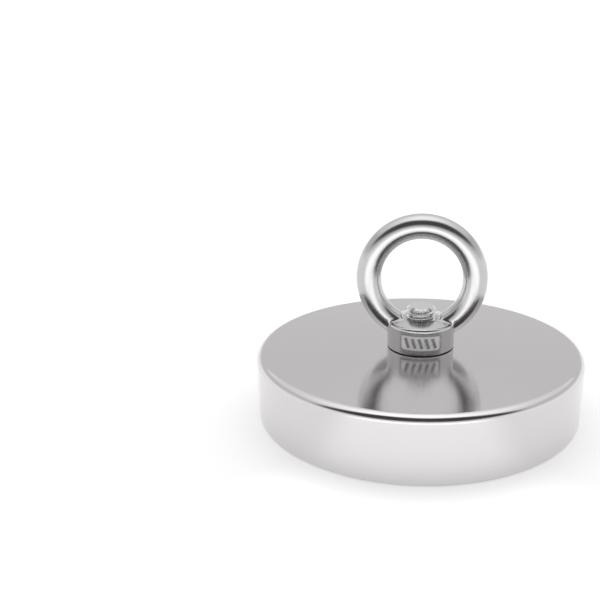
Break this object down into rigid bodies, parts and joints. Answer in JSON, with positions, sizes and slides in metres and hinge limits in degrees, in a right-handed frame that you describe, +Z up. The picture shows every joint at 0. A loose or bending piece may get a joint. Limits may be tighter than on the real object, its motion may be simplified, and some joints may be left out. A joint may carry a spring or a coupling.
{
  "type": "magnet fishing magnet",
  "caption": "Round steel pot magnet with a flat holding face below and a screwed-on eye nut on top for tying a retrieval rope.",
  "frame": {"origin": "centre of the working face, on the plane that the rim rests on", "axes": "+Z up through the screw and the eye; the rope eye's hole runs along Y, so the ring stands in the XZ plane"},
  "size_m": [0.108, 0.108, 0.0657],
  "materials": {
    "nickel_plated_cup": "bright nickel plate over turned steel",
    "adhesive": "cured adhesive",
    "nickel_plated_magnet": "satin nickel plate over a ground sintered magnet",
    "potting_resin": "glossy black cast resin",
    "screw_steel": "bright stainless steel",
    "cast_stainless": "polished investment-cast stainless steel"
  },
  "bodies": {
    "pot": {"steel_cup": "nickel_plated_cup", "magnet_bond": "adhesive", "ring_magnet": "nickel_plated_magnet", "potting_ring": "potting_resin"},
    "screw": {"countersunk_screw": "screw_steel"},
    "eye": {"eye_nut": "cast_stainless"}
  },
  "joints": [
    {"name": "screw_turn", "type": "hinge", "parent": "pot", "child": "screw", "pos_m": [0, 0, 0], "axis": [0, 0, -1], "range_deg": [0, 3285]},
    {"name": "eye_lift", "type": "slide", "parent": "pot", "child": "eye", "axis": [0, 0, 1], "range_m": [0, 0.0137]}
  ],
  "couplings": [
    {"joint": "eye_lift", "follows": "screw_turn", "m_per_rad": 0.00023873}
  ]
}
